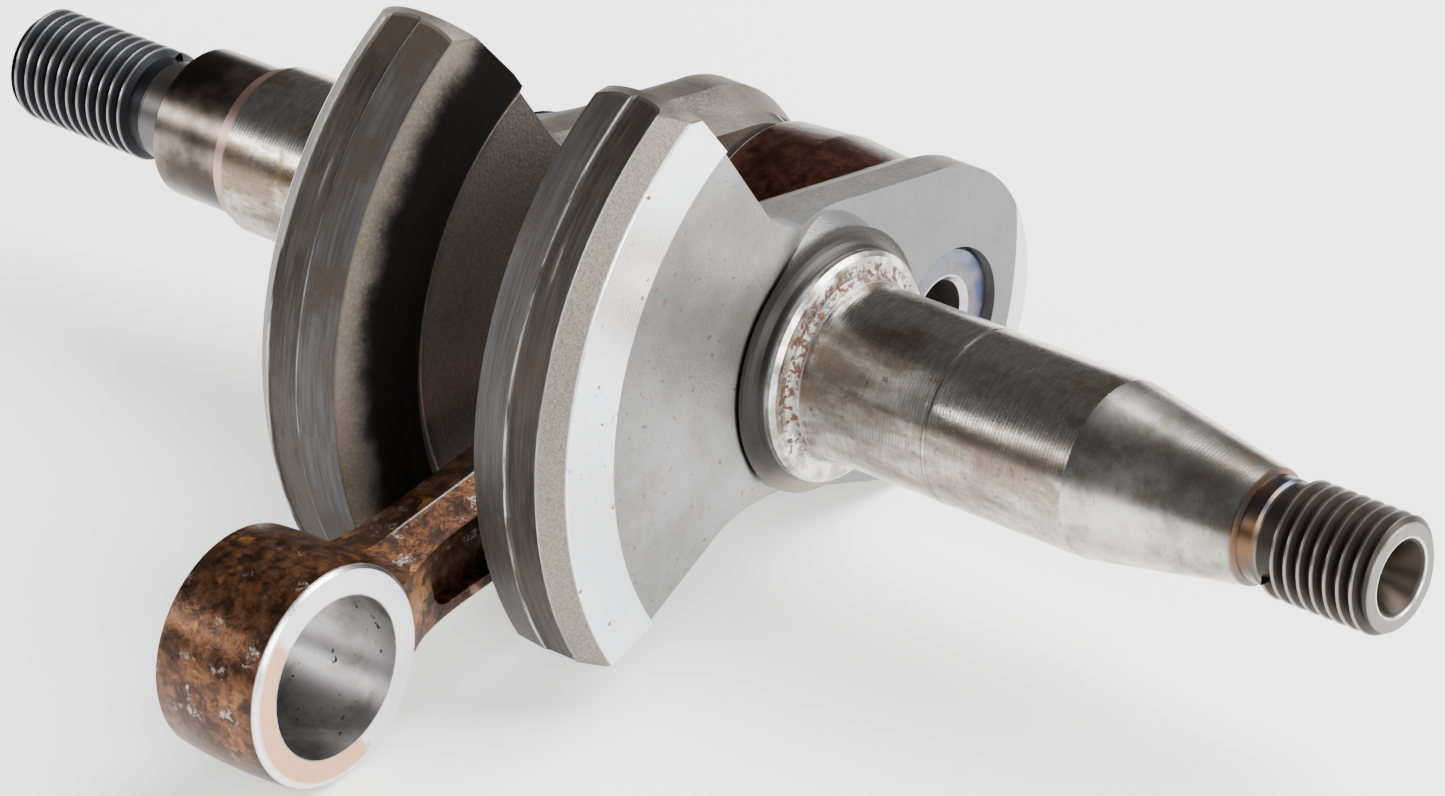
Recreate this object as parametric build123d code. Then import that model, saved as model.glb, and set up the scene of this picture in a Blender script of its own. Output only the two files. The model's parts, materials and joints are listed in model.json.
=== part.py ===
from build123d import *
import math
import os

# Built-up crankshaft of a small single-cylinder engine: two forged halves (shaft and web in one
# piece), a hollow crankpin pressed into both, a one-piece connecting rod and the caged needle
# rollers of its big end.
#
# Workshop position: the shaft runs along X, the crankpin is straight up (+Z) and the rod's
# middle plane is x = 0.  Everything is turned about the shaft at the end, so that the finished
# crankshaft lies on its two arm ends and on the rod's small end.  All sizes are millimetres.

# ---- crank throw and pin ----
THROW = 15.8                 # shaft axis to crankpin axis, half the stroke
PIN_R = 5.0
PIN_BORE_R = 2.4
PIN_RECESS = 0.6             # pin end below the arm's outer face
PIN_EDGE = 0.35
CLEAR = 5.0                  # cuts run this far past what they cut

# ---- webs ----
WEB_INNER = 5.05             # rod plane to the web's flat inner face
WEB_OUTER = 13.35            # rod plane to the forged outer face of the counterweight
RIM_R = 26.45
RIM_INNER_X = 6.05           # where the rim meets the dished inner face
RIM_OUTER_X = 11.6           # where the rim meets its grainy outer chamfer
RIM_DRAFT = 0.45             # the rim is this much smaller at its inner edge
RIM_STEP_X = 8.9             # a trimmed step runs round the rim here
RIM_STEP = 0.18
RIM_STEP_RUN = 0.3
DISH_R = 18.9                # the inner face is flat inside this radius
LIP_X = 4.25                 # round it the counterweight swells towards the rod
LIP_INNER_R = 20.0
LIP_OUTER_R = 21.4
BAND_INNER_R = 21.35         # turned band on the outer face
BAND_OUTER_R = 25.15
BAND_RISE = 0.35             # the band's inner edge stands proud of the forged face
BAND_FALL = 0.5              # and falls towards its outer edge
BAND_LIP = 0.25
FAN_HALF_ANGLE = 46.6        # counterweight at its rim, either side of straight down
FLANK_ANGLE = 41.5           # direction of the counterweight's straight flanks
TIP_TRIM = {1: (1.2, 1.0), -1: (0.6, 0.5)}   # corner trims on the +Y and -Y sides: rim, flank
TIP_LEAN = 11.5              # the -Y corner is also ground to a crown, square to this direction
TIP_EDGE = 20.9              # shaft axis to the crown at the web's faces
TIP_CROWN = 1.1              # and how much higher it is midway
ARM_END_R = 10.9
ARM_CENTRE = 13.4            # centre of the arm's round end
WAIST_HALF_WIDTH = 9.4
WAIST_Z = -4.0               # the web is narrowest here, beside the shaft
ARM_FACE = 11.2              # rod plane to the arm's outer face
ARM_SIDE = 2.6               # the arm's straight side, before its inner bevel
ARM_BEVEL = 26.0             # degrees
NECK_R = 5.5                 # hollow between the arm's side and the counterweight
VALLEY_START = -7.0          # the outer face falls from here
VALLEY_END = 2.0             # to the arm's face here
TIP_BAND_DEPTH = 0.3
BOSS_R = 8.4                 # flat ring around the pin on the inner face
BOSS_FACE = 4.95

# ---- shafts ----
HUB_R = 8.65
HUB_FOOT = 0.8               # the hub ring widens by this down to the arm's face
HUB_FACE = 13.6
HUB_FILLET = 1.2
COLLAR_R = 7.86
SHOULDER = 15.4              # rod plane to the bearing's shoulder
SHOULDER_FILLET = 0.9
SHOULDER_CHAMFER = 0.3
JOURNAL_R = 6.0
SEAT_END = 26.2              # bearing seat ends here on the taper side
SHAFT_RELIEF = 0.03
TAPER_START = 37.3
TAPER_END = 49.0
TAPER_SMALL_R = 3.9
JOURNAL_END = 35.3           # thread side
GROOVE_WIDTH = 1.0
GROOVE_DEPTH = 0.35
STEP_RUN = 0.2               # length of each small cone between two turned diameters
PULLEY_R = 5.3               # plain seat beyond the thread-side journal
PULLEY_END = 42.8
PULLEY_CHAMFER = 0.45

# ---- shaft threads ----
THREAD_R = 4.0
PITCH = 1.0
THREAD_DEPTH = 0.6
THREAD_ROOT = 0.02           # the ridge is sunk this deep into the core
RELIEF_R = 3.55
THREAD_ENTRY = 40.0          # degrees about the shaft where each thread starts
TAPER_THREAD_START = 50.3
TAPER_THREAD_END = 59.3
PLAIN_THREAD_START = 45.4
PLAIN_THREAD_END = 58.0
END_CHAMFER = 0.5
CENTRE_R = 2.4               # mouth of the centre hole
CENTRE_DRILL_R = 1.2
CENTRE_DEPTH = 6.0
CENTRE_LIP = 0.25            # small countersink round the mouth
CENTRE_SLOPE = 1.7           # length of the 60 degree cone for each mm of radius
DRILL_POINT = 0.7

# ---- connecting rod ----
ROD_LENGTH = 53.2            # pin axis to small-end axis
ROD_SWING = 21.3             # from straight down towards +Y, at rest
BIG_R = 9.5
BIG_WIDTH = 9.4
BIG_DRAFT = 0.35
SMALL_BORE_R = 5.5
SMALL_FACE_R = 7.25
SMALL_EDGE = 0.3
SMALL_R = 7.75
SMALL_WIDTH = 8.8
SHANK_WIDTH_BIG = 8.0
SHANK_WIDTH_SMALL = 6.3
SHANK_THICK = 5.6
SHANK_DRAFT = 13.0           # degrees, both ways from the forging's parting plane
FLUTE_DEPTH = 1.1
FLUTE_WALL = 1.3
FLUTE_END = 3.0              # solid metal between a flute and either end
FLARE_R = 4.5                # the shank's sides flow into the small end
FLARE_RUN = 6.0              # and its thickness grows over this length at both ends
FLARE_INSET = 0.5

# ---- needle rollers ----
ROLLERS = 12
ROLLER_R = 1.0
ROLLER_LENGTH = 7.4
RUNNING_GAP = 0.015          # roller to pin and roller to rod
CAGE_GAP = 0.25              # cage to pin and cage to rod
CAGE_WIDTH = 9.0
WINDOW_GAP = 0.06
ROLLER_EDGE = 0.2

ROLLER_PITCH_R = PIN_R + ROLLER_R
RACE_R = PIN_R + 2 * ROLLER_R
SHAFT = Axis.X


def turned(points):
    """A solid of revolution about the shaft from (x, radius) points, straight between them."""
    outline = Polyline(*[(x, r, 0) for x, r in points], close=True)
    return revolve(make_face(outline), SHAFT)


def disc(radius, x0, x1, y=0.0, z=0.0):
    """A cylinder along X from x0 to x1."""
    return Plane.YZ.offset(x0) * Pos(y, z) * Cylinder(
        radius, x1 - x0, align=(Align.CENTER, Align.CENTER, Align.MIN))


def web_outline():
    """The web seen along the shaft: a fan-shaped counterweight, two hollows and a round arm."""
    rim, flank = math.radians(FAN_HALF_ANGLE), math.radians(FLANK_ANGLE)
    corner_y, corner_z = RIM_R * math.sin(rim), -RIM_R * math.cos(rim)
    neck_z = corner_z + (corner_y - WAIST_HALF_WIDTH) / math.tan(flank)
    # the arm's sides run from the waist to touch its round end
    dy, dz = WAIST_HALF_WIDTH, WAIST_Z - ARM_CENTRE
    touch = math.atan2(dz, dy) + math.acos(ARM_END_R / math.hypot(dy, dz))
    half = {}
    for side, (along_rim, along_flank) in TIP_TRIM.items():
        turn = rim - along_rim / RIM_R
        half[side] = [(side * y, z) for y, z in [
            (RIM_R * math.sin(turn), -RIM_R * math.cos(turn)),
            (corner_y - along_flank * math.sin(flank), corner_z + along_flank * math.cos(flank)),
            (WAIST_HALF_WIDTH, neck_z), (WAIST_HALF_WIDTH, WAIST_Z),
            (ARM_END_R * math.cos(touch), ARM_CENTRE + ARM_END_R * math.sin(touch))]]
    edge = [Line(a, b) for points in half.values() for a, b in zip(points, points[1:])]
    edge += [ThreePointArc(half[1][-1], (0, ARM_CENTRE + ARM_END_R), half[-1][-1]),
             ThreePointArc(half[-1][0], (0, -RIM_R), half[1][0])]
    outline = make_face(Wire(edge))
    necks = [v for v in outline.vertices() if abs(v.Y - neck_z) < 0.01]
    return fillet(necks, NECK_R)


def plate(sketch, x0, x1, taper=0.0):
    """A sketch drawn looking along the shaft (its X is Y, its Y is Z), from x0 to x1."""
    face = Plane(origin=(x0, 0, 0), x_dir=(0, 1, 0), z_dir=(1, 0, 0)) * sketch
    return extrude(face, amount=x1 - x0, dir=(1, 0, 0), taper=taper)


def threaded(core_r, x0, x1):
    """A right-hand screw thread from x0 to x1, as one ridge wound on the core."""
    sunk = THREAD_ROOT
    crest = PITCH / 16
    root = PITCH / 2 - PITCH / 12
    turns = x1 - x0
    line = Helix(PITCH, turns, core_r - sunk)
    start = Plane(origin=line @ 0, x_dir=(1, 0, 0), z_dir=line % 0)
    tooth = Polyline((0, -root), (THREAD_DEPTH + sunk, -crest), (THREAD_DEPTH + sunk, crest),
                     (0, root), close=True)
    ridge = sweep(start * make_face(tooth), path=line, is_frenet=True)
    return Pos(x0, 0, 0) * (Rot(THREAD_ENTRY, 0, 0) * (Rot(0, 90, 0) * ridge))


def centre_hole(x_end, inward):
    """A lathe centre in a shaft's end face; inward is -1 or +1 along the shaft."""
    cone = CENTRE_R - CENTRE_DRILL_R
    lip = CENTRE_LIP
    return turned([(x_end - inward, 0), (x_end - inward, CENTRE_R + lip), (x_end, CENTRE_R + lip),
                   (x_end + inward * lip, CENTRE_R),
                   (x_end + inward * (lip + cone * CENTRE_SLOPE), CENTRE_DRILL_R),
                   (x_end + inward * CENTRE_DEPTH, CENTRE_DRILL_R),
                   (x_end + inward * (CENTRE_DEPTH + DRILL_POINT), 0)])


def web():
    """The web of the taper side: counterweight, arm, pin boss; the hub comes with the shaft."""
    proud = WEB_OUTER + BAND_RISE
    step_r = RIM_R - RIM_STEP
    section = turned([
        (WEB_INNER, 0), (WEB_INNER, DISH_R), (LIP_X, LIP_INNER_R), (LIP_X, LIP_OUTER_R),
        (RIM_INNER_X, RIM_R - RIM_DRAFT), (RIM_STEP_X, RIM_R), (RIM_STEP_X + RIM_STEP_RUN, step_r),
        (RIM_OUTER_X - RIM_STEP_RUN, step_r), (RIM_OUTER_X, RIM_R),
        (proud - BAND_FALL, BAND_OUTER_R), (proud, BAND_INNER_R),
        (WEB_OUTER, BAND_INNER_R - BAND_LIP), (WEB_OUTER, 0)])
    body = plate(web_outline(), LIP_X, proud) & section

    # the arm's inner face is flat all over
    beyond = 2 * RIM_R
    body -= Pos(WEB_INNER, 0, WAIST_Z + RIM_R) * Box(
        WEB_INNER, beyond, beyond, align=(Align.MAX, Align.CENTER, Align.CENTER))

    # a crown ground across the corner on the -Y side
    lean = math.radians(TIP_LEAN)
    across = Plane(origin=(0, 0, 0), x_dir=(1, 0, 0), z_dir=(0, math.sin(lean), -math.cos(lean)))
    above = [(proud, TIP_EDGE), (beyond, TIP_EDGE), (beyond, beyond), (-beyond, beyond),
             (-beyond, TIP_EDGE), (WEB_INNER, TIP_EDGE)]
    crown = ThreePointArc(above[-1], ((WEB_INNER + proud) / 2, TIP_EDGE + TIP_CROWN), above[0])
    ground = make_face(Wire([Line(a, b) for a, b in zip(above, above[1:])] + [crown]))
    body -= extrude(across * ground, amount=TIP_EDGE, both=True)

    # the outer face falls in a soft valley from the counterweight to the arm
    drop, run = WEB_OUTER - ARM_FACE, VALLEY_END - VALLEY_START
    start, foot = (WEB_OUTER, 0, VALLEY_START), (ARM_FACE, 0, VALLEY_END)
    far = [(ARM_FACE, 0, beyond), (beyond, 0, beyond), (beyond, 0, VALLEY_START)]
    valley = Wire([Spline(start, foot, tangents=[(-drop / 4, 0, run), (0, 0, 1)]),
                   *[Line(a, b) for a, b in zip([foot] + far, far + [start])]])
    body -= extrude(Face(valley), amount=RIM_R, both=True)
    body += disc(BOSS_R, BOSS_FACE, ARM_FACE - ARM_SIDE, 0, THROW)

    # inside of its straight side, the arm is bevelled towards the rod
    inner_edge = ARM_FACE - ARM_SIDE
    keep = Pos(0, ARM_CENTRE) * Circle(ARM_END_R)
    keep += make_face(Polyline((-ARM_END_R, ARM_CENTRE), (ARM_END_R, ARM_CENTRE),
                               (WAIST_HALF_WIDTH, WAIST_Z), (beyond, WAIST_Z), (beyond, -beyond),
                               (-beyond, -beyond), (-beyond, WAIST_Z),
                               (-WAIST_HALF_WIDTH, WAIST_Z), close=True))
    face = Plane(origin=(inner_edge, 0, 0), x_dir=(0, 1, 0), z_dir=(1, 0, 0)) * keep
    narrow = extrude(face, amount=inner_edge - LIP_X, dir=(-1, 0, 0), taper=ARM_BEVEL)
    body &= plate(keep, inner_edge, proud) + narrow

    # turned patch on the arm's tip
    patch = turned([(proud, BAND_INNER_R), (proud, beyond), (ARM_FACE - TIP_BAND_DEPTH, beyond),
                    (ARM_FACE, BAND_INNER_R)])
    return body - (patch & Pos(0, 0, beyond / 2) * Box(beyond, beyond, beyond))


def neck_fillet(x, radius, size, side):
    """Points of a hollow quarter round where a smaller shaft leaves a shoulder at x.

    side is the way along the shaft that the smaller shaft leads.
    """
    steps = [math.radians(15 * i) for i in range(7)]
    return [(x + side * size * (1 - math.cos(t)), radius + size * (1 - math.sin(t)))
            for t in steps]


def shaft_root(side):
    """Hub ring, collar and shoulder fillet: the same at both ends of the crankshaft."""
    foot = ARM_FACE - ARM_SIDE
    return [(side * foot, 0), (side * foot, HUB_R + HUB_FOOT),
            (side * ARM_FACE, HUB_R + HUB_FOOT), (side * HUB_FACE, HUB_R),
            *neck_fillet(side * HUB_FACE, COLLAR_R, HUB_FILLET, side),
            (side * (SHOULDER - SHOULDER_CHAMFER), COLLAR_R),
            (side * SHOULDER, COLLAR_R - SHOULDER_CHAMFER),
            *neck_fillet(side * SHOULDER, JOURNAL_R, SHOULDER_FILLET, side)]


def taper_side_crank_half():
    turn_r = JOURNAL_R - SHAFT_RELIEF
    core = THREAD_R - THREAD_DEPTH
    shaft = turned(shaft_root(1) + [
        (SEAT_END, JOURNAL_R), (SEAT_END + STEP_RUN, turn_r), (TAPER_START, turn_r),
        (TAPER_END, TAPER_SMALL_R), (TAPER_END + STEP_RUN, RELIEF_R),
        (TAPER_THREAD_START, RELIEF_R), (TAPER_THREAD_START + STEP_RUN, core),
        (TAPER_THREAD_END - END_CHAMFER, core), (TAPER_THREAD_END, core),
        (TAPER_THREAD_END, 0)])
    screw = threaded(core, TAPER_THREAD_START + PITCH, TAPER_THREAD_END + PITCH)
    return finished_half(web(), shaft, screw, 1, TAPER_THREAD_END)


def thread_side_crank_half():
    core = THREAD_R - THREAD_DEPTH
    groove = JOURNAL_R - GROOVE_DEPTH
    groove_end = JOURNAL_END + GROOVE_WIDTH
    shaft = turned(shaft_root(-1) + [
        (-x, r) for x, r in [
            (JOURNAL_END, JOURNAL_R), (JOURNAL_END + STEP_RUN, groove), (groove_end, groove),
            (groove_end + STEP_RUN, PULLEY_R), (PULLEY_END - PULLEY_CHAMFER, PULLEY_R),
            (PULLEY_END, PULLEY_R - PULLEY_CHAMFER), (PULLEY_END + STEP_RUN, RELIEF_R),
            (PLAIN_THREAD_START, RELIEF_R), (PLAIN_THREAD_START + STEP_RUN, core),
            (PLAIN_THREAD_END, core), (PLAIN_THREAD_END, 0)]])
    screw = threaded(core, -PLAIN_THREAD_END - PITCH, -PLAIN_THREAD_START - PITCH)
    return finished_half(mirror(web(), Plane.YZ), shaft, screw, -1, PLAIN_THREAD_END)


def finished_half(blank, shaft, screw, side, end):
    """Web, shaft and screw joined; pin hole, chamfered thread end and centre hole cut."""
    half = blank + shaft
    half -= disc(PIN_R, -WEB_OUTER - CLEAR, WEB_OUTER + CLEAR, 0, THROW)
    beyond = side * (end + 3 * PITCH)
    cone = THREAD_R + END_CHAMFER
    trim = turned([(side * (end - 2 * END_CHAMFER), cone), (side * end, THREAD_R - END_CHAMFER),
                   (side * end, 0), (beyond, 0), (beyond, cone)])
    half += screw - trim
    return half - centre_hole(side * end, -side)


def crankpin():
    ends = ARM_FACE - PIN_RECESS
    r, e = PIN_R, PIN_EDGE
    rod = turned([(-ends, PIN_BORE_R + e), (-ends, r - e), (-ends + e, r), (ends - e, r),
                  (ends, r - e), (ends, PIN_BORE_R + e), (ends - e, PIN_BORE_R),
                  (-ends + e, PIN_BORE_R)])
    return Pos(0, 0, THROW) * rod


def connecting_rod():
    """Drawn with the big end at the origin and the small end straight down."""
    half, small = BIG_WIDTH / 2, SMALL_WIDTH / 2
    big = turned([(-half, 0), (-half, BIG_R - BIG_DRAFT), (0, BIG_R), (half, BIG_R - BIG_DRAFT),
                  (half, 0)])
    corner = small - SMALL_EDGE
    edge_r = SMALL_FACE_R + SMALL_EDGE
    rim = [(-corner, edge_r, 0), (-small, SMALL_FACE_R, 0), (-small, 0, 0), (small, 0, 0),
           (small, SMALL_FACE_R, 0), (corner, edge_r, 0)]
    barrel = [Line(a, b) for a, b in zip(rim, rim[1:])]
    barrel += [ThreePointArc(rim[-1], (0, SMALL_R, 0), rim[0])]
    eye = Pos(0, 0, -ROD_LENGTH) * revolve(Face(Wire(barrel)), SHAFT)

    # seen along the shaft, the shank narrows downwards and flows into the small end
    wide_big, wide_small = SHANK_WIDTH_BIG / 2, SHANK_WIDTH_SMALL / 2
    front = make_face(Polyline((-wide_big, 0), (wide_big, 0), (wide_small, -ROD_LENGTH),
                               (-wide_small, -ROD_LENGTH), close=True))
    front += Pos(0, -ROD_LENGTH) * Circle(edge_r)
    joins = [v for v in front.vertices() if -ROD_LENGTH + 1 < v.Y < -1]
    front = fillet(joins, FLARE_R)
    # seen from the side, it thickens towards both ends
    thin, thick = SHANK_THICK / 2, small - FLARE_INSET
    upper, lower = -BIG_R, -ROD_LENGTH + edge_r
    flare_top = [(thick, 0, upper), (thin, 0, upper - FLARE_RUN)]
    flare_low = [(thin, 0, lower + FLARE_RUN), (thick, 0, lower)]
    outline = []
    for s in (1, -1):
        a, b, c, d = [(s * x, y, z) for x, y, z in flare_top + flare_low]
        outline += [Line((0, 0, 0), (s * thick, 0, 0)), Line((s * thick, 0, 0), a),
                    TangentArc(b, a, tangent=(0, 0, 1)), Line(b, c),
                    TangentArc(c, d, tangent=(0, 0, -1)), Line(d, (d[0], 0, -ROD_LENGTH)),
                    Line((d[0], 0, -ROD_LENGTH), (0, 0, -ROD_LENGTH))]
    shank = plate(front, 0, thick, SHANK_DRAFT)
    shank += mirror(shank, Plane.YZ)
    shank &= extrude(Face(Wire(outline)), amount=edge_r, both=True)

    flute_top, flute_low = -BIG_R - FLUTE_END, lower + FLUTE_END
    flute = make_face(Polyline(
        (-wide_big + FLUTE_WALL, flute_top), (wide_big - FLUTE_WALL, flute_top),
        (wide_small - FLUTE_WALL, flute_low), (-wide_small + FLUTE_WALL, flute_low), close=True))
    pocket = fillet(flute.vertices(), 0.45 * (SHANK_WIDTH_SMALL - 2 * FLUTE_WALL))
    rod = big + eye + shank
    floor = SHANK_THICK / 2 - FLUTE_DEPTH
    rod -= plate(pocket, floor, BIG_WIDTH)
    rod -= plate(pocket, -BIG_WIDTH, -floor)
    rod -= disc(RACE_R, -SMALL_WIDTH, SMALL_WIDTH)
    rod -= disc(SMALL_BORE_R, -SMALL_WIDTH, SMALL_WIDTH, 0, -ROD_LENGTH)
    return rod


def big_end_cage():
    """A ring with one window for each roller, drawn about the pin's axis."""
    w = CAGE_WIDTH / 2
    ring = disc(RACE_R - CAGE_GAP, -w, w) - disc(PIN_R + CAGE_GAP, -w, w)
    side = 2 * (ROLLER_R + WINDOW_GAP)
    window = Pos(0, 0, ROLLER_PITCH_R) * Box(ROLLER_LENGTH + 2 * WINDOW_GAP, side, 4 * ROLLER_R)
    for i in range(ROLLERS):
        ring -= Rot(i * 360 / ROLLERS, 0, 0) * window
    return ring


def big_end_roller(i):
    turn = math.radians(i * 360 / ROLLERS)
    r = ROLLER_R - RUNNING_GAP
    edge = ROLLER_EDGE
    half = ROLLER_LENGTH / 2
    needle = turned([(-half, 0), (-half, r - edge), (-half + edge, r), (half - edge, r),
                     (half, r - edge), (half, 0)])
    return Pos(0, -ROLLER_PITCH_R * math.sin(turn), ROLLER_PITCH_R * math.cos(turn)) * needle


def rest_turn():
    """How far past level the throw points down, in degrees, when the assembly is laid down.

    Both arm ends and the small end touch one flat surface, on the +Y side.
    """
    swing = math.radians(ROD_SWING)
    small_y = ROD_LENGTH * math.sin(swing)
    small_z = THROW - ROD_LENGTH * math.cos(swing)
    span = math.hypot(ARM_CENTRE - small_z, small_y)
    lean = math.atan2(small_y, ARM_CENTRE - small_z)
    return math.degrees(lean + math.asin((SMALL_R - ARM_END_R) / span))


def on_pin(solid):
    return Pos(0, 0, THROW) * solid


pieces = {
    "taper_side_crank_half": taper_side_crank_half(),
    "thread_side_crank_half": thread_side_crank_half(),
    "crankpin": crankpin(),
    "connecting_rod": on_pin(Rot(ROD_SWING, 0, 0) * connecting_rod()),
    "big_end_cage": on_pin(big_end_cage()),
}
for number in range(ROLLERS):
    pieces[f"big_end_roller_{number + 1:02d}"] = on_pin(big_end_roller(number))

os.makedirs("parts", exist_ok=True)
lay_down = Rot(-90 - rest_turn(), 0, 0)
for name, solid in pieces.items():
    export_step(lay_down * solid, f"parts/{name}.step")
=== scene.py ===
import json
import math

import bpy
from mathutils import Matrix, Vector


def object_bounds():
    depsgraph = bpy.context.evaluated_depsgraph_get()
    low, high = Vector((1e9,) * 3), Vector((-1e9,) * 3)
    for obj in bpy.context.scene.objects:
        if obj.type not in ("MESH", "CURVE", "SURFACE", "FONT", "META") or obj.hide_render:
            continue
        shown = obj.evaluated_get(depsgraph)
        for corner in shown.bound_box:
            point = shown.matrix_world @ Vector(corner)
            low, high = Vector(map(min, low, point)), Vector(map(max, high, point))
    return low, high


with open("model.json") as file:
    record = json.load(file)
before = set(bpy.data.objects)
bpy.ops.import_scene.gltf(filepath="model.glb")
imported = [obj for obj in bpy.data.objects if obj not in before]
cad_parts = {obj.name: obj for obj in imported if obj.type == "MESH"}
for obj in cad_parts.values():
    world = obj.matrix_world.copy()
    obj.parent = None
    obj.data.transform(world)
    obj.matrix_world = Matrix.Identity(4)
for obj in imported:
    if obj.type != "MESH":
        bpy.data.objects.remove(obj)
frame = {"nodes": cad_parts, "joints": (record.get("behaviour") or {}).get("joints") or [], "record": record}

MM = 0.001
cad_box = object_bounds()


# ---------------------------------------------------------------- shader helpers
CLOUD_SPREAD = 0.19      # a noise cloud strays about this far from its middle value


class Wire:
    """A shader output that takes part in Python arithmetic."""

    def __init__(self, finish, socket):
        self.finish, self.socket = finish, socket

    def _math(self, operation, first, second=None):
        values = {0: first} if second is None else {0: first, 1: second}
        return self.finish.node("ShaderNodeMath", {"operation": operation}, values)

    def __add__(self, other):
        return self._math("ADD", self, other)

    def __radd__(self, other):
        return self._math("ADD", other, self)

    def __sub__(self, other):
        return self._math("SUBTRACT", self, other)

    def __rsub__(self, other):
        return self._math("SUBTRACT", other, self)

    def __mul__(self, other):
        return self._math("MULTIPLY", self, other)

    def __rmul__(self, other):
        return self._math("MULTIPLY", other, self)

    def __truediv__(self, other):
        return self._math("DIVIDE", self, other)

    def __rtruediv__(self, other):
        return self._math("DIVIDE", other, self)

    def size(self):
        return self._math("ABSOLUTE", self)

    def root(self):
        return self._math("SQRT", self)

    def sine(self):
        return self._math("SINE", self)


class Finish:
    """One material, built from nodes on Object coordinates in millimetres."""

    def __init__(self, name):
        self.material = bpy.data.materials.new(name)
        self.material.use_nodes = True
        self.tree = self.material.node_tree
        self.tree.nodes.clear()
        output = self.tree.nodes.new("ShaderNodeOutputMaterial")
        self.shader = self.tree.nodes.new("ShaderNodeBsdfPrincipled")
        self.tree.links.new(self.shader.outputs[0], output.inputs["Surface"])
        place = self.node("ShaderNodeTexCoord", out="Object")
        self.place = self.node("ShaderNodeVectorMath", {"operation": "SCALE"},
                               {0: place, "Scale": 1 / MM})
        self.x, self.y, self.z = (self.node("ShaderNodeSeparateXYZ", {}, {0: self.place}, out=i)
                                  for i in range(3))

    def node(self, kind, settings=None, values=None, out=0):
        """Any node: its settings first, then values or links for its inputs, by key."""
        made = self.tree.nodes.new(kind)
        for name, value in (settings or {}).items():
            setattr(made, name, value)
        for key, value in (values or {}).items():
            if isinstance(value, Wire):
                self.tree.links.new(value.socket, made.inputs[key])
            else:
                made.inputs[key].default_value = value
        return Wire(self, made.outputs[out])

    def radius(self, y=0.0, z=0.0):
        """Distance in mm from a line along X through (y, z)."""
        dy, dz = self.y - y, self.z - z
        return (dy * dy + dz * dz).root()

    def point(self, x, y, z):
        return self.node("ShaderNodeCombineXYZ", {}, {0: x, 1: y, 2: z})

    def noise(self, scale, detail=3.0, rough=0.55, at=None, warp=0.0):
        """Cloudy value from 0 to 1; scale is features per millimetre."""
        return self.node("ShaderNodeTexNoise", {"noise_dimensions": "3D"},
                         {"Vector": at or self.place, "Scale": scale, "Detail": detail,
                          "Roughness": rough, "Distortion": warp})

    def step(self, value, low, high):
        """Smooth rise from 0 at low to 1 at high, or the fall from 1 if high is below low."""
        first, last = (0.0, 1.0) if low < high else (1.0, 0.0)
        low, high = min(low, high), max(low, high)
        return self.node("ShaderNodeMapRange", {"interpolation_type": "SMOOTHSTEP"},
                         {"Value": value, "From Min": low, "From Max": high,
                          "To Min": first, "To Max": last})

    def past(self, value, edge, soft):
        """1 where value is above edge, changing over soft on both sides of it."""
        return self.step(value, edge - soft, edge + soft)

    def before(self, value, edge, soft):
        """1 where value is below edge, changing over soft on both sides of it."""
        return self.step(value, edge + soft, edge - soft)

    def within(self, value, low, high, soft=0.1):
        return self.past(value, low, soft) * self.before(value, high, soft)

    def mix(self, factor, under, over):
        """Colours: under where factor is 0, over where it is 1."""
        under, over = ((*c, 1.0) if isinstance(c, tuple) else c for c in (under, over))
        return self.node("ShaderNodeMix", {"data_type": "RGBA", "clamp_factor": True},
                         {0: factor, 6: under, 7: over}, out=2)

    def blend(self, factor, under, over):
        """Numbers: under where factor is 0, over where it is 1."""
        return self.node("ShaderNodeMix", {"data_type": "FLOAT", "clamp_factor": True},
                         {0: factor, 2: under, 3: over})

    def bump(self, height, depth_mm, strength=1.0, over=None):
        """Normal for a height from 0 to 1 that is depth_mm deep, laid over another normal."""
        values = {"Height": height, "Distance": depth_mm * MM, "Strength": strength}
        if over is not None:
            values["Normal"] = over
        return self.node("ShaderNodeBump", {}, values)

    def turn(self):
        """Angle in radians about the shaft."""
        return self.node("ShaderNodeMath", {"operation": "ARCTAN2"}, {0: self.z, 1: self.y})

    def base(self, colour, rough, metal=1.0):
        """The first coat; layer() puts others over it where a mask is 1."""
        self.colour, self.rough, self.metal = colour, rough, metal

    def layer(self, mask, colour=None, rough=None, metal=None):
        """A coat over what is there already; what isn't given shows through."""
        if colour is not None:
            self.colour = self.mix(mask, self.colour, colour)
        if rough is not None:
            self.rough = self.blend(mask, self.rough, rough)
        if metal is not None:
            self.metal = self.blend(mask, self.metal, metal)

    def spots(self, scale, share, soft=0.04, seed=0.0):
        """Scattered blotches, 1 inside; share is roughly the part of the surface covered."""
        cloud = self.noise(scale, 4.0, 0.6, self.point(self.x + seed, self.y, self.z))
        edge = 0.5 + CLOUD_SPREAD * (1 - 2 * share)
        return self.past(cloud, edge, soft)

    def finish(self, normal=None):
        """Joins what the coats came to to the shader, and gives the material."""
        for name, value in (("Base Color", self.colour), ("Roughness", self.rough),
                            ("Metallic", self.metal), ("Normal", normal)):
            if isinstance(value, Wire):
                self.tree.links.new(value.socket, self.shader.inputs[name])
            elif value is not None:
                value = (*value, 1.0) if isinstance(value, tuple) else value
                self.shader.inputs[name].default_value = value
        return self.material


# ---------------------------------------------------------------- where things are, mm
joints = {joint["name"]: joint for joint in frame["joints"]}
mounts = {mount["name"]: mount for mount in frame["record"]["mounts"]}


def line_of(place):
    """(y, z) in mm of a joint or mount whose axis runs along X."""
    return place["pos_m"][1] / MM, place["pos_m"][2] / MM


PIN = line_of(joints["rod_swing"])
EYE = line_of(mounts["small_end_bore"])
ROD_LENGTH = math.dist(PIN, EYE)
ROD = [(eye - pin) / ROD_LENGTH for pin, eye in zip(PIN, EYE)]    # unit vector to the small end

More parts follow.
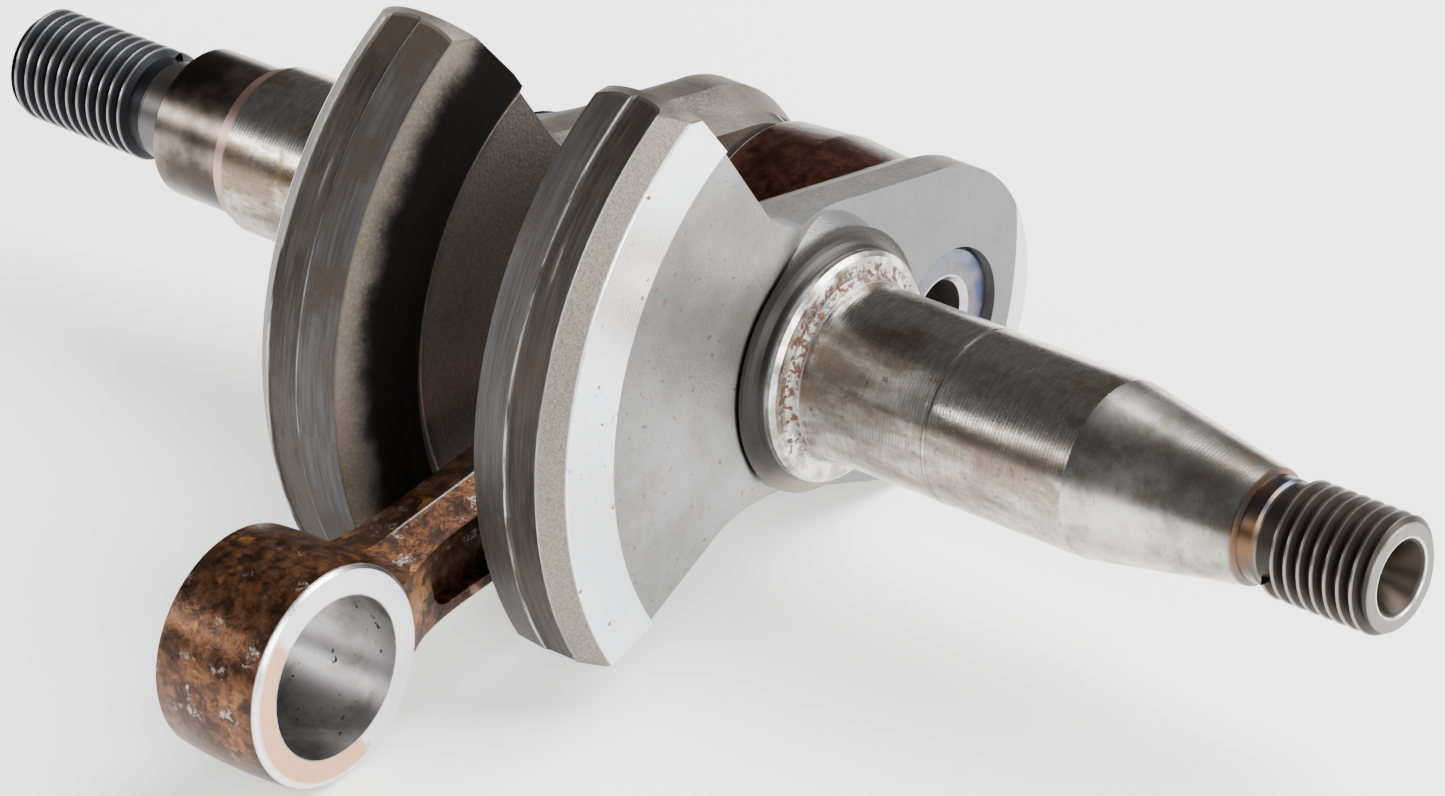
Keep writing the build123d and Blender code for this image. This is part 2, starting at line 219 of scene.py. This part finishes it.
# crank halves: distance from the rod's middle plane, and radius about the shaft
INNER_FACE = 6.1
BAND_FACE = 10.85
OUTER_FACE = 10.95
RIM_R = 25.7
RIM_INNER, RIM_STEP, RIM_OUTER = 6.05, 8.85, 11.6
CHAMFER_R = 25.175
DISH_R, SHADE_BAND_R = 18.9, 24.1
BAND_INNER_R, BAND_OUTER_R = 21.35, 25.225
TIP_BAND_INNER_R = 22.7
CROWN = (0.126, 0.992)        # the corner with the crown faces this way (y, z)
CROWN_TOP, CROWN_RISE = 22.0, 1.1
CROWN_MIDDLE, CROWN_HALF = 9.375, 4.325
HOLLOW_START, HOLLOW_END, HOLLOW_R = 12.9, 14.7, 9.15
COLLAR_START, COLLAR_END, COLLAR_R = 14.75, 15.6, 8.05
CORNER_START, CORNER_END, CORNER_R = 15.3, 16.5, 7.2
SHAFT_START, SHAFT_R = 16.05, 6.3
THREAD_R = 3.92

# taper side
SEAT_LINES = (26.1, 26.4)
CONE_START, CONE_END = 37.25, 48.9
TAPER_THREAD_START, TAPER_THREAD_END = 50.6, 59.25
CENTRE_R, DRILL_R, DRILL_START = 2.73, 2.36, 52.5

# thread side
GROOVE_START, GROOVE_END = 35.25, 36.35
SEAT_START, SEAT_END = 36.375, 42.875
PLAIN_THREAD_START, PLAIN_THREAD_END = 45.6, 58.0

# crankpin and rod: radius about the pin or the small end, and distance from the middle plane
PIN_BORE_R, PIN_MOUTH_R, PIN_EDGE_R = 2.4, 2.875, 4.77
BIG_R, BIG_FACE = 10.5, 4.63
SMALL_FACE, SMALL_R, SMALL_BORE_R = 4.16, 8.0, 5.58
SHANK_START, SHANK_END = 12.0, 42.0

# ---------------------------------------------------------------- colours, dark to light
DARK_BROWN = (0.045, 0.032, 0.024)
OIL_BROWN = (0.13, 0.085, 0.045)
TEA_BROWN = (0.17, 0.14, 0.10)
SHADE_BAND_BLACK = (0.006, 0.005, 0.005)
RUST = (0.085, 0.032, 0.017)
SCORED = (0.12, 0.10, 0.08)
BRIGHT = (0.80, 0.81, 0.83)
BLASTED_GREY = ((0.185, 0.182, 0.178), (0.275, 0.277, 0.280))
PAINTED_SHADE_GREY = (0.125, 0.125, 0.128)
DISH_BROWN = ((0.045, 0.037, 0.031), (0.125, 0.108, 0.094))
TAN_GRAIN_HIGHLIGHT = (0.25, 0.205, 0.15)
DISH_EDGE_HIGHLIGHT = (0.34, 0.27, 0.25)
RIM_LIGHT = ((0.052, 0.048, 0.045), (0.084, 0.081, 0.079))
RIM_DARK = ((0.030, 0.025, 0.021), (0.058, 0.049, 0.042))
RIM_SCRATCH = (0.22, 0.21, 0.20)
RIM_STAIN = (0.062, 0.048, 0.037)
RIM_EDGE_HIGHLIGHT = (0.72, 0.73, 0.75)
CHAMFER_TAN = ((0.14, 0.122, 0.10), (0.25, 0.222, 0.185))
TURNED_SILVER = ((0.78, 0.80, 0.85), (0.90, 0.90, 0.91))
TURNED_RUST = (0.24, 0.12, 0.07)
TIP_SILVER = (0.60, 0.60, 0.61)
CROWN_BROWN = ((0.075, 0.064, 0.054), (0.155, 0.138, 0.12))
# painted shading for the hollow round the hub: the lighter lower side, then the shaded upper side
HOLLOW_PAINTED_SHADING = ((0.20, 0.175, 0.14), (0.030, 0.028, 0.027))    # lower side, then upper
COLLAR_STEEL = (0.62, 0.62, 0.62)
SHAFT_STEEL = ((0.42, 0.39, 0.35), (0.58, 0.56, 0.53))
TARNISH = (0.155, 0.105, 0.060)
CONE_STEEL = ((0.30, 0.285, 0.26), (0.55, 0.545, 0.53))
CONE_TARNISH = (0.16, 0.115, 0.07)
HEAT_COLOURS = ((0.13, 0.075, 0.042), (0.06, 0.07, 0.10))       # straw, then blue
TAPER_THREAD = ((0.030, 0.024, 0.021), (0.22, 0.205, 0.185))    # roots, then crests
TAPER_END_FACE = ((0.13, 0.12, 0.11), (0.25, 0.235, 0.215))
CENTRE_BRASSY = (0.62, 0.57, 0.52)
DRILL_DARK = ((0.012, 0.009, 0.007), (0.045, 0.033, 0.024))
OIL_RING = (0.20, 0.14, 0.06)
GROOVE_PINK = (0.48, 0.30, 0.26)
SEAT_BROWN = ((0.045, 0.034, 0.028), (0.24, 0.20, 0.165))
RELIEF_GREY = (0.11, 0.10, 0.10)
PLAIN_THREAD = ((0.018, 0.018, 0.021), (0.26, 0.255, 0.25))
PLAIN_END_FACE = (0.35, 0.34, 0.32)
TEMPER_BLUE = ((0.045, 0.060, 0.105), (0.125, 0.135, 0.17))
TEMPER_STRAW = (0.17, 0.13, 0.11)
MOUTH_STEEL = (0.42, 0.41, 0.42)
BORE_BROWN = (0.10, 0.07, 0.05)
EDGE_BLUE = (0.10, 0.12, 0.20)
PLATING = ((0.034, 0.016, 0.010), (0.16, 0.068, 0.030))
COPPER = (0.46, 0.205, 0.060)
PLATING_BLACK = (0.022, 0.014, 0.012)
WORN_STEEL = (0.40, 0.37, 0.34)
PARTING_STEEL = (0.34, 0.33, 0.34)
LEDGE_HIGHLIGHT_PINK = (0.38, 0.25, 0.21)
BIG_END_BROWN = ((0.032, 0.011, 0.008), (0.105, 0.040, 0.021))
FLASH_LINE = (0.20, 0.17, 0.16)
GROUND_SIDE = (0.62, 0.60, 0.58)
RING_SILVER = ((0.70, 0.70, 0.70), (0.86, 0.86, 0.87))
PLATED_PINK = (0.66, 0.35, 0.22)
BORE_SATIN = ((0.20, 0.19, 0.185), (0.40, 0.39, 0.39))
CAGE_SATIN = ((0.34, 0.32, 0.30), (0.55, 0.53, 0.50))

# what differs between the halves; the thread side's forged and grain colours are darker copies, painted
# shade for the far web; stain is how far the tarnish and the rim's stains go
TAPER_SIDE = {"side": 1, "forged": ((0.115, 0.108, 0.100), (0.20, 0.192, 0.185)),
              "grain": (0.26, 0.245, 0.225), "collar": (0.30, 0.27, 0.23), "stain": 0.6}
# painted shade: forged and grain colours darker than the taper side's
THREAD_SIDE_SHADED = {"side": -1, "forged": ((0.050, 0.042, 0.035), (0.10, 0.088, 0.077)),
               "grain": (0.155, 0.135, 0.112), "collar": (0.07, 0.075, 0.11), "stain": 1.0}


# ---------------------------------------------------------------- crank halves
class CrankFinish(Finish):
    """A crank half's finish, with the distances and clouds that its coats share."""

    def __init__(self, name, half):
        super().__init__(name)
        self.half = half
        self.along = self.x * half["side"]
        self.out = self.radius()
        self.cloud = self.noise(0.16, 4.0, 0.6)
        self.grain = self.noise(4.2, 2.0, 0.6)
        self.fine = self.noise(7.0, 2.0, 0.6)
        # long round the shaft and short across, as scratches from turning are
        self.hoop = self.noise(1.0, 4.0, 0.6, self.point(self.along * 3.2, self.turn() * 5.0,
                                                         self.out * 3.2))
        self.lathe = (self.along * 24.0).sine() * 0.5 + 0.5
        self.facing = (self.out * 21.0).sine() * 0.5 + 0.5


def crank_steel(name, half, dress_end):
    """Forged web with turned bands, and the ground, tapered and threaded shaft."""
    f = CrankFinish(name, half)
    forged_skin(f)
    outer_face(f)
    inner_face(f)
    rim(f)
    turned = turned_band(f)
    crowned_corner(f)
    hub_and_collar(f)
    ground_shaft(f)
    dress_end(f)
    forged = f.before(f.along, 13.75, 0.25) * (1.0 - turned)
    rough_skin = f.bump(f.grain * forged, 0.055, 0.55)
    return f.finish(f.bump(f.lathe * (1.0 - forged), 0.004, 0.25, rough_skin))


def forged_skin(f):
    f.base(f.mix(f.step(f.cloud, 0.35, 0.65), *f.half["forged"]), 0.52, 0.75)
    f.layer(f.step(f.grain, 0.45, 0.75) * 0.55, f.half["grain"], 0.6)


def outer_face(f):
    """Shot-blasted grey with oil spots, and painted shade darkening it towards the arm."""
    outer = f.past(f.along, OUTER_FACE, 0.25)
    f.layer(outer, f.mix(f.step(f.cloud, 0.3, 0.7), *BLASTED_GREY), f.blend(f.fine, 0.32, 0.48),
            0.85)
    f.layer(outer * f.spots(1.5, 0.09, 0.03) * 0.8, OIL_BROWN, 0.55)
    haze = f.spots(0.22, 0.16, 0.1, 31.0) * f.step(f.fine, 0.35, 0.65)
    f.layer(outer * haze * 0.6, TEA_BROWN, 0.5)
    # painted shade: the outer face goes darker and glossier grey towards the arm
    f.layer(outer * f.step(f.y, -2.0, 9.0) * 0.75, PAINTED_SHADE_GREY, 0.42)


def inner_face(f):
    """Brown inside with a painted highlight on its edge line, a band of painted shade round it, and tan
    grain out to the rim, lighter there as a painted highlight.
    """
    inner = f.before(f.along, INNER_FACE, 0.15)
    f.layer(inner * f.before(f.out, DISH_R, 0.3), f.mix(f.grain, *DISH_BROWN), 0.5, 0.75)
    # painted highlight: tan grain made lighter out towards the rim
    f.layer(inner * f.step(f.out, SHADE_BAND_R - 0.1, 25.8) * f.blend(f.grain, 0.2, 0.9), TAN_GRAIN_HIGHLIGHT,
            0.52)
    # painted shade: a near-black band with a ragged edge between the dish's edge line and the tan grain
    ragged = f.out + (f.cloud - 0.5) * 3.0
    f.layer(inner * f.within(ragged, DISH_R, SHADE_BAND_R, 0.9) * 0.96, SHADE_BAND_BLACK, 0.75, 1.0)
    # painted highlight: a thin bright line on the dish's edge
    f.layer(inner * f.within(f.out, DISH_R - 0.12, DISH_R + 0.08, 0.06), DISH_EDGE_HIGHLIGHT, 0.35, 1.0)


def rim(f):
    """A lighter strip, a trimmed step and a dark scratched band between thin bright lines of painted
    highlight on its edges.
    """
    edge = f.past(f.out, RIM_R, 0.1)
    strip = edge * f.within(f.along, RIM_INNER, RIM_OUTER, 0.08)
    f.layer(strip * f.before(f.along, RIM_STEP, 0.15),
            f.mix(f.step(f.hoop, 0.35, 0.65), *RIM_LIGHT), 0.55, 0.7)
    f.layer(strip * f.past(f.along, RIM_STEP, 0.15),
            f.mix(f.step(f.hoop, 0.38, 0.66), *RIM_DARK), 0.52, 0.7)
    f.layer(strip * f.past(f.along, RIM_STEP + 0.1, 0.25) * f.step(f.hoop, 0.66, 0.74) * 0.6,
            RIM_SCRATCH, 0.42)
    f.layer(strip * f.half["stain"] * f.step(f.cloud, 0.46, 0.62), RIM_STAIN, 0.55, 0.7)
    # the bright lines on the step's and the chamfer's edges are painted highlight, kept in worn-looking
    # patches
    worn = f.step(f.hoop, 0.42, 0.62) * 0.6
    for at in (RIM_STEP + 0.1, RIM_OUTER - 0.05):
        f.layer(edge * f.within(f.along, at - 0.07, at + 0.07, 0.05) * worn, RIM_EDGE_HIGHLIGHT, 0.25, 1.0)
    chamfer = f.past(f.out, CHAMFER_R, 0.075) * f.past(f.along, RIM_OUTER + 0.075, 0.075)
    f.layer(chamfer, f.mix(f.step(f.fine, 0.3, 0.7), *CHAMFER_TAN), 0.56, 0.75)


def turned_band(f):
    """The bright band on the counterweight and the patch on the arm's tip; gives their mask."""
    arm_tip = f.past(f.y, 10.0, 2.0)
    inside = f.out - f.blend(arm_tip, BAND_INNER_R, TIP_BAND_INNER_R)
    turned = (f.past(inside, 0.0, 0.06) * f.before(f.out, BAND_OUTER_R, 0.075)
              * f.past(f.along, BAND_FACE, 0.05))
    f.layer(turned, f.mix(f.step(f.cloud, 0.3, 0.7), *TURNED_SILVER), f.blend(f.facing, 0.2, 0.3),
            1.0)
    f.layer(turned * f.spots(1.1, 0.035, 0.02, 7.0), TURNED_RUST, 0.5)
    f.layer(turned * arm_tip, TIP_SILVER, 0.3)
    return turned


def crowned_corner(f):
    """The crown ground across the counterweight's upper corner."""
    height = f.y * CROWN[0] + f.z * CROWN[1]
    swell = (f.along - CROWN_MIDDLE) / CROWN_HALF
    crown = f.past(height + swell * swell * CROWN_RISE, CROWN_TOP - 0.14, 0.06)
    f.layer(crown, f.mix(f.step(f.cloud, 0.35, 0.65), *CROWN_BROWN), 0.5, 0.75)


def hub_and_collar(f):
    """The hollow round the hub with painted shade on its upper side, the worn collar, and rust in the corner
    below its shoulder.
    """
    hollow = f.within(f.along, HOLLOW_START, HOLLOW_END, 0.3) * f.before(f.out, HOLLOW_R, 0.15)
    # painted shade: the hollow goes near black towards its upper side, lighter brown below
    upper = f.step(f.z - 0.4 * f.y + (f.cloud - 0.5) * 6.0, -7.0, 1.0)
    f.layer(hollow, f.mix(upper, *HOLLOW_PAINTED_SHADING), 0.42, 0.9)
    collar = f.within(f.along, COLLAR_START, COLLAR_END, 0.1) * f.before(f.out, COLLAR_R, 0.05)
    f.layer(collar, f.mix(f.step(f.noise(0.7), 0.38, 0.6), f.half["collar"], COLLAR_STEEL),
            0.24, 1.0)
    corner = (f.within(f.along, CORNER_START, CORNER_END, 0.15) * f.before(f.out, CORNER_R, 0.1)
              * f.step(f.out, 5.9, 6.02))
    f.layer(corner * f.spots(2.2, 0.45, 0.05, 3.0) * f.step(f.z - 0.3 * f.y, -5.0, 0.0),
            RUST, 0.6, 0.4)


def ground_shaft(f):
    """Ground steel, tarnished brown in patches."""
    shaft = f.past(f.along, SHAFT_START, 0.15) * f.before(f.out, SHAFT_R, 0.1)
    f.layer(shaft, f.mix(f.step(f.hoop, 0.3, 0.7), *SHAFT_STEEL), f.blend(f.lathe, 0.16, 0.24),
            1.0)
    streaks = f.noise(0.12, 5.0, 0.65, f.point(f.along * 0.7, f.y * 2.2, f.z * 2.2))
    f.layer(shaft * f.step(streaks, 0.41, 0.60) * (0.6 + 0.3 * f.half["stain"]), TARNISH, 0.28)
    f.layer(shaft * f.spots(1.6, 0.1, 0.03, 11.0) * 0.6, OIL_BROWN, 0.4)


def dress_thread(f, start, end, shades):
    """Dark roots and lighter crests between two stations along the shaft; the crests are partly worn and
    partly a painted highlight.
    """
    roots, crests = shades
    thread = f.past(f.along, start, 0.1) * f.before(f.along, end, 0.1)
    f.layer(thread, roots, 0.45, 0.9)
    # painted highlight, partly wear: the crests lighter than the roots
    f.layer(thread * f.past(f.out, THREAD_R, 0.06), crests, 0.3, 1.0)


def dress_taper_end(f):
    """Two lines where the bearing sat, the cone, heat colours before the thread, and the end."""
    for at in SEAT_LINES:
        f.layer(f.within(f.along, at - 0.05, at + 0.05, 0.05) * 0.6, SCORED, 0.4)
    cone = f.past(f.along, CONE_START, 0.15)
    f.layer(cone, f.mix(f.step(f.cloud, 0.35, 0.65), *CONE_STEEL), f.blend(f.cloud, 0.2, 0.34),
            1.0)
    f.layer(cone * f.spots(0.35, 0.35, 0.12, 5.0) * 0.7, CONE_TARNISH, 0.32)
    f.layer(cone * f.step(f.hoop, 0.62, 0.7) * 0.5, SCORED, 0.4)
    f.layer(f.within(f.along, CONE_END, TAPER_THREAD_START, 0.2),
            f.mix(f.step(f.cloud, 0.4, 0.6), *HEAT_COLOURS), 0.32, 1.0)
    dress_thread(f, TAPER_THREAD_START, TAPER_THREAD_END, TAPER_THREAD)
    face = f.past(f.along, TAPER_THREAD_END - 0.01, 0.04)
    f.layer(face, f.mix(f.cloud, *TAPER_END_FACE), 0.4, 1.0)
    f.layer(f.before(f.out, CENTRE_R, 0.05) * face, CENTRE_BRASSY, 0.25)
    f.layer(f.before(f.out, DRILL_R, 0.06) * f.past(f.along, DRILL_START, 0.5),
            f.mix(f.cloud, *DRILL_DARK), 0.4)


def dress_plain_end(f):
    """An oil mark on the shaft, the groove, the brown drum seat, and the longer thread."""
    mark = f.noise(0.1, 2.0, 0.5, f.point(f.x, f.y + 4.0, f.z))
    ring = f.within(mark, 0.555, 0.575, 0.012) * f.within(f.along, 17.0, 34.0, 1.0)
    f.layer(ring * 0.7, OIL_RING, 0.35)
    f.layer(f.within(f.along, GROOVE_START, GROOVE_END, 0.1), GROOVE_PINK, 0.35, 1.0)
    f.layer(f.within(f.along, SEAT_START, SEAT_END, 0.075),
            f.mix(f.step(f.cloud, 0.38, 0.68), *SEAT_BROWN), 0.28, 1.0)
    f.layer(f.within(f.along, SEAT_END + 0.025, PLAIN_THREAD_START, 0.1), RELIEF_GREY, 0.4, 1.0)
    dress_thread(f, PLAIN_THREAD_START, PLAIN_THREAD_END, PLAIN_THREAD)
    f.layer(f.past(f.along, PLAIN_THREAD_END - 0.06, 0.04), PLAIN_END_FACE, 0.4, 1.0)


# ---------------------------------------------------------------- crankpin
def pin_steel():
    """Ground steel with temper colours, straw round the open bore's mouth."""
    f = Finish("tempered_pin")
    r = f.radius(*PIN)
    cloud = f.noise(0.6, 3.0, 0.55)
    f.base(f.mix(f.step(cloud, 0.35, 0.65), *TEMPER_BLUE), 0.34)
    f.layer(f.within(r, 3.0, 3.7, 0.25) * 0.5, TEMPER_STRAW, 0.3)
    f.layer(f.before(r, PIN_MOUTH_R, 0.075), MOUTH_STEEL, 0.27)
    f.layer(f.before(r, PIN_BORE_R, 0.02), BORE_BROWN, 0.5)
    f.layer(f.past(r, PIN_EDGE_R, 0.05), EDGE_BLUE, 0.3)
    facing = f.noise(1.0, 2.0, 0.5, f.point(0.0, r * 14.0, 0.0))
    return f.finish(f.bump(facing, 0.006, 0.3))


# ---------------------------------------------------------------- connecting rod
class RodFinish(Finish):
    """The rod's finish, with the distances and clouds that its coats share."""

    def __init__(self, name):
        super().__init__(name)
        y, z = self.y - PIN[0], self.z - PIN[1]
        self.along = y * ROD[0] + z * ROD[1]
        self.across = (y * ROD[1] - z * ROD[0]).size()
        self.depth = self.x.size()
        self.big_r, self.small_r = self.radius(*PIN), self.radius(*EYE)
        self.cloud = self.noise(0.22, 5.0, 0.65, warp=0.4)
        self.mottle = self.noise(0.9, 5.0, 0.7, warp=0.3)
        self.grain = self.noise(4.0, 2.0, 0.6)


def rod_copper():
    """Mottled brown plating, worn to steel in places; turned faces on both ends."""
    f = RodFinish("worn_copper_plating")
    plating(f)
    big_end(f)
    skin = small_end(f)
    return f.finish(f.bump(f.mottle * skin, 0.10, 0.45, f.bump(f.grain * skin, 0.03, 0.4)))


def plating(f):
    """Bright copper, black and bare patches, the wear along the parting line, and a pink painted highlight
    in patches on the flanges.
    """
    f.base(f.mix(f.step(f.mottle, 0.36, 0.66), *PLATING), f.blend(f.mottle, 0.22, 0.42), 0.8)
    f.layer(f.step(f.cloud, 0.53, 0.7) * f.step(f.mottle, 0.38, 0.56), COPPER, 0.36)
    f.layer(f.step(f.cloud, 0.48, 0.36) * 0.8, PLATING_BLACK, 0.34)
    worn = f.spots(0.6, 0.12, 0.04, 19.0) * f.step(f.grain, 0.4, 0.6)
    f.layer(worn * f.step(f.big_r, 11.0, 14.0) * 0.8, WORN_STEEL, 0.38, 1.0)
    parting = f.step(f.depth, 0.16, 0.05) * f.step(f.across, 2.4, 2.7)
    f.layer(parting * f.within(f.along, SHANK_START, SHANK_END, 1.5) * 0.8, PARTING_STEEL, 0.4,
            1.0)
    # painted highlight: a pink line, in patches, along the ledges at the flute's edges
    ledge = f.within(f.depth, 2.2, 3.0, 0.2) * f.within(f.along, SHANK_START, SHANK_END + 1, 2.0)
    f.layer(ledge * f.step(f.cloud, 0.52, 0.6) * 0.7, LEDGE_HIGHLIGHT_PINK, 0.33, 1.0)


def big_end(f):
    """Red-brown and smoother, with a flash line round its middle and ground sides."""
    big = f.before(f.big_r, BIG_R, 0.5)
    f.layer(big, f.mix(f.step(f.mottle, 0.35, 0.68), *BIG_END_BROWN), 0.28, 0.85)
    f.layer(big * f.within(f.x, -0.16, 0.16, 0.08) * f.step(f.big_r, 9.5, 9.6), FLASH_LINE, 0.35)
    f.layer(big * f.past(f.depth, BIG_FACE, 0.03), GROUND_SIDE, 0.3, 1.0)


def small_end(f):
    """Turned faces with a plated remnant low down, and a satin bore; gives what is left plated."""
    face = f.past(f.depth, SMALL_FACE, 0.06) * f.before(f.small_r, SMALL_R, 0.2)
    rings = (f.small_r * 26.0).sine() * 0.5 + 0.5
    f.layer(face, f.mix(rings, *RING_SILVER), 0.27, 1.0)
    low = (f.y - EYE[0]) * 0.95 + (f.z - EYE[1]) * 0.55 + (f.mottle - 0.5) * 3.0
    remnant = f.before(low, -1.4, 0.4) * f.before(f.small_r, 7.05, 0.15)
    f.layer(face * remnant, PLATED_PINK, 0.3, 1.0)
    bore = f.before(f.small_r, SMALL_BORE_R, 0.04)
    f.layer(bore, f.mix(f.step(f.cloud, 0.35, 0.65), *BORE_SATIN), 0.36, 1.0)
    f.layer(bore * f.spots(1.3, 0.05, 0.02, 2.0), DARK_BROWN, 0.5)
    return (1.0 - face) * (1.0 - bore)


# ---------------------------------------------------------------- needle rollers and their cage
def roller_steel():
    f = Finish("polished_roller_steel")
    f.base(BRIGHT, 0.15)
    return f.finish()


def cage_steel():
    f = Finish("satin_cage_steel")
    f.base(f.mix(f.noise(0.8), *CAGE_SATIN), 0.35)
    return f.finish()


# ---------------------------------------------------------------- which piece wears what
def dress(node, material):
    piece = frame["nodes"][node]
    piece.data.materials.clear()
    piece.data.materials.append(material)


dress("taper_side_crank_half",
      crank_steel("forged_steel_taper_side", TAPER_SIDE, dress_taper_end))
dress("thread_side_crank_half",
      crank_steel("forged_steel_thread_side", THREAD_SIDE_SHADED, dress_plain_end))
dress("crankpin", pin_steel())
dress("connecting_rod", rod_copper())
dress("big_end_cage", cage_steel())
polished = roller_steel()
for name in frame["nodes"]:
    if name.startswith("big_end_roller"):
        dress(name, polished)


# ---------------------------------------------------------------- floor, light, camera
WHITE = (1.0, 1.0, 1.0)
FLOOR_HALF = 2.5              # metres
FLOOR_PAINT = (0.94, 0.94, 0.94)
FLOOR_GLOW = 0.9
SKY_GLOW = 0.11

# places in metres, powers in watts
SOFTBOXES = (
    {"name": "back_softbox", "place": (0.35, 0.55, 0.75), "aim": (0, -0.05, 0),
     "size": (1.0, 0.9), "power": 40.0},
    {"name": "right_softbox", "place": (0.95, -0.45, 0.5), "aim": (0, 0, 0),
     "size": (0.6, 0.6), "power": 14.0},
    {"name": "left_softbox", "place": (-0.75, -0.62, 0.42), "aim": (0, 0, 0),
     "size": (0.5, 0.16), "power": 3.5},
)

CAMERA_PLACE = (289.19, -312.05, 250.82)     # mm
CAMERA_AIM = (4.554, -0.58, -5.756)
CAMERA_ROLL = -4.127                         # degrees
CAMERA_LENS, CAMERA_SENSOR = 186.54, 36.0


def floor():
    """A pale sheet that glows a little, level with what the crankshaft lies on."""
    z = cad_box[0][2]
    corners = [(-1, -1), (1, -1), (1, 1), (-1, 1)]
    mesh = bpy.data.meshes.new("floor")
    mesh.from_pydata([(x * FLOOR_HALF, y * FLOOR_HALF, z) for x, y in corners],
                     [], [(0, 1, 2, 3)])
    piece = bpy.data.objects.new("floor", mesh)
    bpy.context.scene.collection.objects.link(piece)
    pale = Finish("pale_floor")
    pale.base(FLOOR_PAINT, 0.9, 0.0)
    pale.shader.inputs["Emission Color"].default_value = (*WHITE, 1.0)
    pale.shader.inputs["Emission Strength"].default_value = FLOOR_GLOW
    mesh.materials.append(pale.finish())


def softbox(name, place, aim, size, power):
    light = bpy.data.lights.new(name, "AREA")
    light.shape = "RECTANGLE"
    light.size, light.size_y = size
    light.energy = power
    light.color = WHITE
    lamp = bpy.data.objects.new(name, light)
    bpy.context.scene.collection.objects.link(lamp)
    lamp.location = place
    lamp.rotation_euler = (Vector(aim) - Vector(place)).to_track_quat("-Z", "Y").to_euler()


def studio():
    """An even white sky and three soft lights; the one at the back is the main one."""
    world = bpy.data.worlds.new("studio")
    bpy.context.scene.world = world
    world.use_nodes = True
    background = world.node_tree.nodes["Background"]
    background.inputs["Color"].default_value = (*WHITE, 1.0)
    background.inputs["Strength"].default_value = SKY_GLOW
    for each in SOFTBOXES:
        softbox(**each)


def camera():
    """Looks down from the taper side; the camera is turned a little about its own axis."""
    place = Vector(CAMERA_PLACE) * MM
    aim = Vector(CAMERA_AIM) * MM
    roll = math.radians(CAMERA_ROLL)
    data = bpy.data.cameras.new("camera")
    data.sensor_width, data.lens = CAMERA_SENSOR, CAMERA_LENS
    data.clip_start, data.clip_end = 0.01, 20.0
    eye = bpy.data.objects.new("camera", data)
    bpy.context.scene.collection.objects.link(eye)
    turn = (aim - place).to_track_quat("-Z", "Y").to_matrix().to_4x4()
    eye.matrix_world = Matrix.Translation(place) @ turn @ Matrix.Rotation(roll, 4, "Z")
    bpy.context.scene.camera = eye


floor()
studio()
camera()
